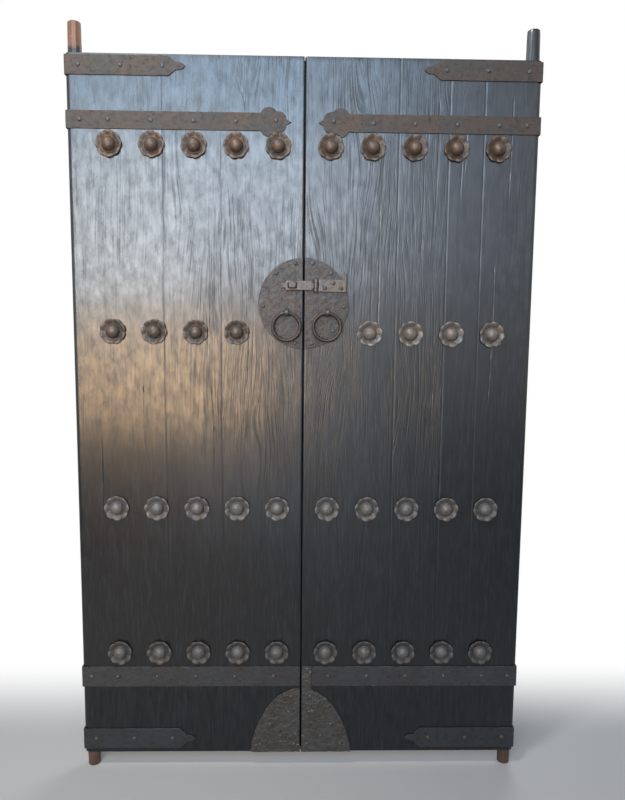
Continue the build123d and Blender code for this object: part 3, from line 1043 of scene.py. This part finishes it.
@dataclass
class Studs:
    """The petalled washers, domed bosses and clenched tips of both leaves."""

    # The record's iron and the look of each row's studs, on the left and the right leaf
    irons: tuple[tuple[tuple[str, str], tuple[str, str]], ...] = (
        (("rusted", "rusted"), ("rusted", "rusted")),
        (("worn", "brown"), ("tan", "tan")),
        (("worn", "worn"), ("worn", "worn")),
        # The bottom row's worn studs take a darker copy of the worn iron, as painted shade
        (("worn", "worn_in_painted_shade"), ("worn", "worn_in_painted_shade")),
    )
    petals: int = 8
    corners: int = 64
    hole: float = 0.010
    seat: float = 0.003
    # Radius and height of each ring, from the hole over the rolled rim to the back and the hole again
    rings: tuple[tuple[float, float], ...] = (
        (0.0185, 0.0030), (0.0205, 0.0034), (0.0235, 0.0047), (0.0268, 0.0062), (0.0300, 0.0072),
        (0.0322, 0.0075), (0.0330, 0.0070), (0.0328, 0.0060), (0.0300, 0.0046), (0.0255, 0.0026),
        (0.0200, 0.0004), (0.0100, 0.0), (0.0100, 0.0030),
    )
    # Least and greatest radius of the bands that bend between the petals, and how far each does
    bands: tuple[Point, ...] = ((0.0222, 0.0262, 0.25), (0.0262, 0.0290, 0.6), (0.0290, 1, 1.0))
    valley: float = 0.94
    # How far a petal's middle stands up, and how much lower the valley beside it lies
    petal_lift: float = 0.0007
    valley_drop: float = 0.0032
    boss_radius: float = 0.0185
    boss_height: float = 0.017
    boss_foot: float = 0.0012
    # How much wider the foot flares, and how far the whole boss is then drawn in
    foot_flare: float = 1.04
    boss_draw: float = 0.96
    # How far a stud is turned, in radians, and how small it may be, both at random
    turn: float = 0.35
    smallest: float = 0.97
    # Middle and size of a clenched tip, for a stud at the origin
    tip_at: Point = (0, 0.0605, -0.005)
    tip_size: Point = (0.006, 0.003, 0.018)
    tip_taper: Point = (0.45, 0.6, 1)
    batten_face: float = 0.059

    def washer(self) -> Object:
        """Models one petalled washer at the origin, facing up, and turns it to face -Y.

        Returns:
            The washer's object.
        """
        piece = new_piece(
            bpy.ops.mesh.primitive_circle_add,
            vertices=self.corners, radius=self.hole, location=(0, 0, self.seat),
        )
        settle(piece)
        edit(piece, "EDGE", every=True)
        radius, height = self.hole, self.seat
        for next_radius, next_height in self.rings:
            extrude(0, 0, next_height - height)
            k = next_radius / radius
            stretch((k, k, 1), (0, 0, next_height))
            radius, height = next_radius, next_height
        bpy.ops.mesh.select_mode(type="VERT")
        step = math.tau / self.petals
        for k in range(self.corners // self.petals // 2 + 1):
            share = 2 * k * self.petals / self.corners
            inward = 1 - (1 - self.valley) * share**2
            drop = self.petal_lift - self.valley_drop * share**1.5
            for least, most, part in self.bands:
                pick(
                    piece,
                    lambda co: least < co.xy.length <= most
                    and abs(abs((math.atan2(co.y, co.x) / step + 0.5) % 1 - 0.5) - share / 2) < 0.01,
                )
                pull = 1 - (1 - inward) * part
                stretch((pull, pull, 1))
                bpy.ops.transform.translate(value=(0, 0, drop * part))
        return face_front(piece, cell=0.007, depth=0.0015, angle=50)

    def boss(self) -> Object:
        """Models one domed boss at the origin, facing -Y.

        Returns:
            The boss's object.
        """
        piece = dome(self.boss_radius, segments=32, rings=22)
        extrude(0, 0, -self.boss_foot)
        stretch((self.foot_flare, self.foot_flare, 1))
        bpy.ops.mesh.select_all(action="SELECT")
        stretch((self.boss_draw, self.boss_draw, (self.boss_height - self.boss_foot) / self.boss_radius))
        bpy.ops.transform.translate(value=(0, 0, self.seat + self.boss_foot))
        return face_front(piece, cell=0.008, depth=0.0010, angle=50)

    def clench(self) -> Object:
        """Models the tip of a stud's shank, bent down over the batten.

        Returns:
            The tip's object.
        """
        piece = new_piece(bpy.ops.mesh.primitive_cube_add, size=1, location=self.tip_at)
        piece.scale = self.tip_size
        settle(piece)
        edit(piece)
        pick(piece, lambda co: co.z < -0.01)
        stretch(self.tip_taper, (0, self.batten_face, 0))
        bpy.ops.mesh.select_all(action="SELECT")
        bpy.ops.mesh.bevel(offset=0.0007, segments=2, affect="EDGES")
        deselect()
        smooth(piece, angle=50)
        return piece

    def build(self, washers: dict[str, Material], bosses: dict[str, Material]) -> None:
        """Sets every stud on both leaves.

        Args:
            washers: The washers' finish by look.
            bosses: The bosses' finish by look.
        """
        dice = random.Random(SEED)
        washer, boss, clench = self.washer(), self.boss(), self.clench()
        for side, hand in enumerate(Hand):
            for row, irons in zip(Row, self.irons):
                iron, look = irons[side]
                name = f"{hand.word}_{row.value}"
                places, centres = [], []
                for low, high in islands(f"{name}_rosettes"):
                    centre = Matrix.Translation(((low.x + high.x) / 2, FACE, (low.z + high.z) / 2))
                    turn = Matrix.Rotation(dice.uniform(-self.turn, self.turn), 4, "Y")
                    wide, tall = dice.uniform(self.smallest, 1.0), dice.uniform(self.smallest, 1.0)
                    places.append(centre @ turn @ Matrix.Diagonal((wide, 1, tall, 1)))
                    centres.append(centre)
                made = join(copies(washer, places), f"{name}_petal_washers")
                place_piece(made, hand.body, washers[look], [f"{name}_rosettes"])
                made = join(copies(boss, places) + copies(clench, centres), f"{name}_bosses")
                place_piece(made, hand.body, bosses[look], [f"{hand.word}_boss_nails"])
        for pattern in (washer, boss, clench):
            bpy.data.objects.remove(pattern)


@dataclass
class SmallNails:
    """The round-headed nails of the straps, the plates and the hasp."""

    radius: float = 0.006
    height: float = 0.0035
    # How small a head may be, at random
    smallest: float = 0.85

    def head(self) -> Object:
        """Models one nail head at the origin, facing -Y.

        Returns:
            The head's object.
        """
        piece = dome(self.radius, segments=14, rings=10)
        bpy.ops.mesh.select_all(action="SELECT")
        stretch((1, 1, self.height / self.radius))
        return face_front(piece, cell=0.005, depth=0.0005, angle=60)

    def build(self, finish: Material) -> None:
        """Sets the heads where the CAD nails stand.

        Args:
            finish: The nails' finish.
        """
        dice = random.Random(SEED + 1)
        pattern = self.head()
        owners = {"hasp_nails": Hand.RIGHT}
        for hand in Hand:
            owners[f"{hand.word}_strap_nails"] = hand
            owners[f"{hand.word}_plate_nails"] = hand
        for node, hand in owners.items():
            places = []
            for low, high in islands(node):
                middle = (low + high) / 2
                front = middle.y < 0
                stand = low.y + self.height if front else high.y - self.height
                turn = dice.uniform(0, math.tau)
                spin = Matrix.Rotation(0 if front else math.pi, 4, "Z") @ Matrix.Rotation(turn, 4, "Y")
                wide, tall = dice.uniform(self.smallest, 1), dice.uniform(self.smallest, 1)
                size = Matrix.Diagonal((wide, 1, tall, 1))
                places.append(Matrix.Translation((middle.x, stand, middle.z)) @ spin @ size)
            made = join(copies(pattern, places), f"{node}_heads")
            place_piece(made, hand.body, finish, [node])
        bpy.data.objects.remove(pattern)


# The flat irons and the lock


@dataclass
class FlatIron:
    """Straps and plates cut from sheet, with rounded edges and a hammered face."""

    round_over: float = 0.0011
    grid: float = 0.0055
    dent: float = 0.0011
    dent_cell: float = 0.013
    # The dents start at this height over the wood, and have their full depth at twice the height
    skin_starts: float = 0.0010

    def build(self, node: str, body: str, finish: Material, slot: str) -> None:
        """Reworks one sheet-iron node.

        Args:
            node: The CAD node.
            body: The body it rides on.
            finish: Its finish.
            slot: The record's slot; not used.
        """
        piece = reforged(node, f"{node}_iron", self.round_over, self.grid)
        group(piece, "skin", self.skin)
        hammer(piece, clouds("dents"), (self.dent_cell,) * 3, self.dent, where="skin", level=0.45)
        smooth(piece, angle=40)
        place_piece(piece, body, finish, [node])

    def skin(self, co: Vector) -> float:
        """Full strength on the side of the sheet that is away from the wood."""
        stand = max(abs(co.y) + FACE, abs(co.x) - LEAF_EDGE)
        return min(1.0, max(0.0, (stand - self.skin_starts) / self.skin_starts))


@dataclass
class LockSet:
    """Ring pulls, their eyes and the hasp."""

    ring_radius: float = 0.035
    wire: float = 0.004
    # Size and depth of the dents in a ring and in the other pieces, and the spacing of their cuts
    ring_dents: tuple[float, float] = (0.014, 0.0011)
    dents: tuple[float, float] = (0.009, 0.0004)
    grid: float = 0.003
    # Node, body, slot and rounding of the pieces that keep the CAD node's shape
    rows: tuple[tuple[str, str, str, float], ...] = (
        ("left_ring_eye", "left_leaf", "ring_iron", 0.0),
        ("right_ring_eye", "right_leaf", "ring_iron", 0.0),
        ("hasp_plate", "right_leaf", "hasp_iron", 0.0006),
        ("hasp_staple", "left_leaf", "hasp_iron", 0.0005),
        ("hasp_arm", "hasp", "hasp_iron", 0.0006),
        ("hasp_pin", "right_leaf", "hasp_iron", 0.0),
    )

    def ring(self, hand: Hand, finish: Material) -> None:
        """Models one forged ring pull.

        Args:
            hand: The leaf it hangs on.
            finish: Its finish.
        """
        low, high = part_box(f"{hand.word}_ring_pull")
        piece = new_piece(
            bpy.ops.mesh.primitive_torus_add, location=(low + high) / 2, rotation=(math.pi / 2, 0, 0),
            major_segments=96, minor_segments=16, major_radius=self.ring_radius, minor_radius=self.wire,
        )
        piece.name = f"{hand.word}_ring"
        settle(piece)
        cell, depth = self.ring_dents
        hammer(piece, clouds("dents"), (cell,) * 3, depth, level=0.62)
        smooth(piece, angle=60)
        place_piece(piece, f"{hand.word}_ring", finish, [f"{hand.word}_ring_pull"])

    def build(self, ring_iron: Material, hasp_iron: Material) -> None:
        """Models the rings and reworks the eyes and the hasp.

        Args:
            ring_iron: The rings' finish.
            hasp_iron: The finish of the rest.
        """
        for hand in Hand:
            self.ring(hand, ring_iron)
        cell, depth = self.dents
        for node, body, slot, round_over in self.rows:
            piece = reforged(node, f"{node}_forged", round_over, self.grid)
            hammer(piece, clouds("dents"), (cell,) * 3, depth)
            smooth(piece, angle=40)
            place_piece(piece, body, hasp_iron, [node])


# The studio


def soft_light(name: str, colour: str, watts: float, size: tuple[float, float]) -> Object:
    """Adds a soft rectangular light that the camera doesn't see.

    Args:
        name: The light's name.
        colour: Its hex colour.
        watts: Its power.
        size: Its width and height.

    Returns:
        The light's object, at the origin.
    """
    data = bpy.data.lights.new(name, "AREA")
    data.shape = "RECTANGLE"
    data.size, data.size_y = size
    data.energy = watts
    data.color = linear(colour)[:3]
    lamp = bpy.data.objects.new(name, data)
    lamp.visible_camera = False
    bpy.context.collection.objects.link(lamp)
    return lamp


@dataclass(frozen=True)
class Softbox:
    """A soft light placed so that a patch of the outer face mirrors it to the camera."""

    name: str
    # Left, right, lower and upper edge of the patch
    patch: tuple[float, float, float, float]
    colour: str
    radiance: float
    distance: float = 2.2
    spread: float = 125.0

    def build(self, eye: Vector) -> None:
        """Adds the light.

        Args:
            eye: Where the camera stands.
        """
        mirrored = Vector((eye.x, 2 * FACE - eye.y, eye.z))
        spread = (mirrored.y - FACE + self.distance) / (mirrored.y - FACE)
        xs = [mirrored.x + (x - mirrored.x) * spread for x in self.patch[:2]]
        zs = [mirrored.z + (z - mirrored.z) * spread for z in self.patch[2:]]
        size = (xs[1] - xs[0], zs[1] - zs[0])
        lamp = soft_light(self.name, self.colour, self.radiance * math.pi * size[0] * size[1], size)
        lamp.data.spread = math.radians(self.spread)
        lamp.location = (sum(xs) / 2, FACE - self.distance, sum(zs) / 2)
        lamp.rotation_euler = (math.pi / 2, 0, 0)


@dataclass
class Studio:
    """The camera, the lights, the surround and the pale floor that runs into white behind the leaves."""

    eye: Point = (-0.0085, -1.6797, 1.1953)
    pitch: float = -6.0
    yaw: float = 1.16
    roll: float = 0.52
    lens: float = 28.8
    softboxes: tuple[Softbox, ...] = (
        Softbox("sky_high", (-0.66, 0.26, 1.68, 2.10), "#b2d9fc", 4.15),
        Softbox("window_left", (-0.70, -0.28, 1.26, 1.68), "#edf7ff", 6.2),
        Softbox("window_right", (-0.28, 0.16, 1.30, 1.72), "#e1efff", 4.9),
        Softbox("window_warm", (-0.66, -0.10, 0.95, 1.24), "#ffd39f", 5.2),
        Softbox("side_card", (0.10, 0.62, 1.30, 2.00), "#cadcff", 0.62),
        Softbox("low_card", (-0.30, 0.22, 0.50, 1.10), "#cbe6ff", 0.5),
    )
    # Name, place, what it looks at, side, power and colour of the plain lamps
    lamps: tuple[tuple[str, Point, Point, float, float, str], ...] = (
        ("key", (-0.9, -1.2, 3.3), (-0.1, 0, 1.3), 0.4, 36, "#fffaf2"),
        ("back", (1.4, 2.6, 2.8), (0, 0, 1.0), 1.6, 40, "#ffffff"),
    )
    surround: float = 0.18
    floor_side: float = 24.0
    floor_paint: str = "#b3b6b9"
    # Where the floor starts and ends its change to white: by its Y, and by its distance from the
    # middle for what the camera sees and for what the leaves mirror
    behind: tuple[float, float] = (0.10, 0.55)
    straight: tuple[float, float] = (1.6, 3.6)
    mirrored: tuple[float, float] = (7.0, 11.5)

    def build(self) -> None:
        """Sets up the whole studio."""
        self.camera()
        for softbox in self.softboxes:
            softbox.build(Vector(self.eye))
        for name, at, to, side, watts, colour in self.lamps:
            lamp = soft_light(name, colour, watts, (side, side))
            lamp.location = at
            lamp.rotation_euler = (Vector(to) - Vector(at)).to_track_quat("-Z", "Y").to_euler()
        self.world()
        self.floor()
        bpy.context.scene.view_settings.view_transform = "Standard"

    def camera(self) -> None:
        """Adds the camera at the photograph's place and angle."""
        pitch, yaw, roll = (math.radians(a) for a in (self.pitch, self.yaw, self.roll))
        level = Vector((math.sin(yaw), math.cos(yaw), 0))
        ahead = level * math.cos(pitch) + Vector((0, 0, math.sin(pitch)))
        across = Vector((math.cos(yaw), -math.sin(yaw), 0))
        upright = across.cross(ahead)
        right = across * math.cos(roll) + upright * math.sin(roll)
        top = upright * math.cos(roll) - across * math.sin(roll)
        data = bpy.data.cameras.new("camera")
        data.lens = self.lens
        data.sensor_width = 36
        camera = bpy.data.objects.new("camera", data)
        turn = Matrix((right, top, -ahead)).transposed().to_4x4()
        camera.matrix_world = Matrix.Translation(self.eye) @ turn
        bpy.context.collection.objects.link(camera)
        bpy.context.scene.camera = camera

    def world(self) -> None:
        """Sets a pale, even surround, which the camera and mirrors see as white."""
        world = bpy.data.worlds.new("surround")
        bpy.context.scene.world = world
        world.use_nodes = True
        tree = world.node_tree
        tree.nodes.clear()
        white = self.seen(tree, ("Is Camera Ray", "Is Glossy Ray", "Is Transmission Ray"))
        strength = add_node(tree, "MapRange", {0: white}, {3: self.surround})
        light = add_node(tree, "Background", {"Strength": strength}, {"Color": linear("#ffffff")})
        add_node(tree, "OutputWorld", {"Surface": light})

    def floor(self) -> None:
        """Lays the floor, pale before the leaves and running into the white behind them."""
        floor = new_piece(bpy.ops.mesh.primitive_plane_add, size=1)
        floor.name = "floor"
        floor.scale = (self.floor_side, self.floor_side, 1)
        settle(floor)
        material, tree, places = new_material("pale_floor")
        y = add_node(tree, "SeparateXYZ", {0: places}).outputs["Y"]
        away = add_node(tree, "VectorMath", {0: places}, operation="LENGTH").outputs["Value"]
        behind, straight, mirrored = (
            add_node(tree, "MapRange", {0: source}, {1: near, 2: far}, interpolation_type="SMOOTHSTEP")
            for source, (near, far) in ((y, self.behind), (away, self.straight), (away, self.mirrored))
        )
        shares = []
        for around, kinds in (
            (straight, ["Is Camera Ray"]),
            (mirrored, ["Is Glossy Ray", "Is Transmission Ray"]),
        ):
            white = add_node(tree, "Math", {0: behind, 1: around}, operation="MAXIMUM")
            seen = self.seen(tree, kinds)
            shares.append(add_node(tree, "Math", {0: white, 1: seen}, operation="MULTIPLY"))
        share = add_node(tree, "Math", {0: shares[0], 1: shares[1]}, operation="MAXIMUM")
        flat = {"Base Color": linear(self.floor_paint), "Roughness": 0.9}
        paint = add_node(tree, "BsdfPrincipled", values=flat)
        glow = add_node(tree, "Emission", values={"Color": linear("#ffffff"), "Strength": 1.0})
        mixed = add_node(tree, "MixShader", {0: share, 1: paint, 2: glow})
        add_node(tree, "OutputMaterial", {"Surface": mixed})
        floor.data.materials.append(material)

    def seen(self, tree: NodeTree, kinds: Sequence[str]) -> Any:
        """Tells the rays that show the background from the rest.

        Args:
            tree: The tree of the floor or the surround.
            kinds: The names of those kinds of ray.

        Returns:
            The socket or node that gives 1 for them.
        """
        rays = add_node(tree, "LightPath").outputs
        total = rays[kinds[0]]
        for kind in kinds[1:]:
            total = add_node(tree, "Math", {0: total, 1: rays[kind]}, operation="ADD", use_clamp=True)
        return total


def peg_finishes() -> dict[Hand, dict[str, Material]]:
    """Makes the four pegs' finishes.

    Returns:
        The finish of each leaf's upper and lower peg.
    """
    lacquered = BlackLacquer(film="#2c3036", worn="#4a4f55", rough=0.5)
    return {
        Hand.LEFT: {
            "top": OiledElm(black_below=1.901).make("bare_elm_peg"),
            "bottom": OiledElm(light="#6a5142", dark="#33261f").make("worn_elm_peg"),
        },
        Hand.RIGHT: {
            "top": lacquered.make("black_lacquer_peg", 5.1),
            "bottom": OiledElm(light="#5a4438", dark="#2c211b").make("dark_elm_peg"),
        },
    }


def stud_finishes() -> tuple[dict[str, Material], dict[str, Material]]:
    """Makes the studs' finishes. The washers have painted shade in their hollows, and the bosses have none.

    Returns:
        The washers' and the bosses' finish by look.
    """
    common = ForgedIron(roughness=0.46)
    looks = {
        "rusted": replace(common, body="#4a3e35", rust="#553f30", scale="#241e1a", rust_share=0.45),
        "worn": ForgedIron(body="#5a5b5d", rust="#5b5753", scale="#2e2e2f", metallic=0.25, roughness=0.50),
        # A darker, duller copy of the worn iron, painted shade for the bottom row
        "worn_in_painted_shade": ForgedIron(body="#535457", rust="#524f4c", scale="#2b2b2c", metallic=0.2, roughness=0.54),
        "brown": replace(common, body="#4a413b", rust="#52443a", scale="#26211e"),
        "tan": replace(common, body="#66625e", rust="#6b5f53", scale="#31302e", rust_share=0.4),
    }
    # The petals of these rows are darker than their bosses
    petals = {"rusted": ("#473b31", "#513d2c"), "worn_in_painted_shade": ("#4c4d4f", "#4b4946")}
    washers, bosses = {}, {}
    for shift, (key, iron) in enumerate(looks.items()):
        body, rust = petals.get(key, (iron.body, iron.rust))
        # The washers get painted shade in their hollows
        shaded_in_hollows = replace(iron, body=body, rust=rust, hollow_shade=0.45)
        washers[key] = shaded_in_hollows.make(f"{key}_iron_washers", 4.0 * shift)
        bosses[key] = iron.make(f"{key}_iron_bosses", 4.0 * shift + 2)
    return washers, bosses


def iron_finishes() -> dict[str, Material]:
    """Makes the finishes of the flat irons, nails, rings and hasp.

    Returns:
        Each finish by its name.
    """
    grey = ForgedIron(
        body="#393c40", rust="#37373a", scale="#232527", roughness=0.48,
        patch=(0.055, 0.045, 0.045), pit=0.006, pit_depth=0.0016,
    )
    brown = replace(
        grey, body="#38332e", rust="#40342c", scale="#25211d", rust_share=0.45, metallic=0.05,
        specular=0.3, roughness=0.62, pit=0.005, pit_depth=0.0014,
    )
    # A darker, bluer copy of the grey iron for the straps at the foot, as painted shade
    foot = replace(grey, body="#30363b", rust="#2d3134", scale="#1d2123")
    plate = ForgedIron(
        body="#2d2b2b", rust="#342b27", scale="#1a1919", rust_share=0.45, metallic=0.30,
        roughness=0.48, pit=0.007, pit_depth=0.0016,
    )
    crusted = ForgedIron(
        body="#4c4d4f", rust="#474543", scale="#2b2b2c", metallic=0.5, roughness=0.34,
        pit=0.017, pit_depth=0.0042,
    )
    nail = ForgedIron(body="#434241", rust="#42403e", metallic=0.2, roughness=0.55)
    ring = ForgedIron(body="#2d2725", rust="#372b27", scale="#1c1918", roughness=0.42)
    hasp = ForgedIron(body="#4a4541", rust="#4e443b", metallic=0.5, roughness=0.42)
    irons = (
        ("brown_iron_straps", brown, 0),
        ("grey_iron_straps", grey, 0),
        ("dark_iron_foot_straps", foot, 0),
        ("forged_iron_plates", plate, 2),
        ("crusted_iron_corners", crusted, 5),
        ("forged_iron_nails", nail, 3),
        ("forged_iron_rings", ring, 6),
        ("forged_iron_hasp", hasp, 7),
    )
    return {name: iron.make(name, shift) for name, iron, shift in irons}


def main() -> None:
    """Builds and dresses every piece, and then the studio."""
    logging.basicConfig(level=logging.INFO, format="%(name)s %(message)s")
    pegs = peg_finishes()
    grimy = OiledElm(light="#4a3a30", dark="#231b17", grain=(0.05, 0.003, 0.003), roughness=0.6)
    oiled = grimy.make("oiled_elm_battens")
    even = BlackLacquer()
    figured = BlackLacquer(relief=0.00032, sway=0.08, open_pores=0.78)
    dull = BlackLacquer(smooth=0.31, rough=0.39, coat=0.68, coat_roughness=0.22)
    open_grained = replace(dull, relief=0.00045, sway=0.08, open_pores=0.9)
    planks = {
        Hand.LEFT: (("hinge_stile", even), ("middle_board", figured), ("meeting_board", figured)),
        Hand.RIGHT: (
            ("hinge_stile", dull),
            ("outer_board", dull),
            ("middle_board", open_grained),
            ("meeting_board", open_grained),
        ),
    }
    split = Split(x=-0.146, low=1.734, high=1.858, lean=-0.29, sway=0.005, wave=0.028, depth=1.6)
    splits = {Hand.LEFT: {"meeting_board": (split,)}, Hand.RIGHT: {}}
    for hand, parts in planks.items():
        LeafWood(hand, parts, splits[hand]).build(pegs[hand], oiled)
    Studs().build(*stud_finishes())

    irons = iron_finishes()
    straps = {
        "top_pivot_strap": "brown_iron_straps",
        "upper_strap": "brown_iron_straps",
        "lower_strap": "grey_iron_straps",
        # The foot straps take the grey iron darkened as painted shade
        "bottom_pivot_strap": "dark_iron_foot_straps",
    }
    crusty = FlatIron(grid=0.0035, dent=0.0028, dent_cell=0.014)
    lumpy = FlatIron(grid=0.004, dent=0.0011, dent_cell=0.012)
    for hand in Hand:
        for strap, name in straps.items():
            FlatIron().build(f"{hand.word}_{strap}", hand.body, irons[name], "strap_iron")
        corner, lock = (f"{hand.word}_{plate}_plate" for plate in ("corner", "lock"))
        crusty.build(corner, hand.body, irons["crusted_iron_corners"], "plate_iron")
        lumpy.build(lock, hand.body, irons["forged_iron_plates"], "plate_iron")
    SmallNails().build(irons["forged_iron_nails"])
    LockSet().build(irons["forged_iron_rings"], irons["forged_iron_hasp"])
    Studio().build()


if __name__ == "__main__":
    main()
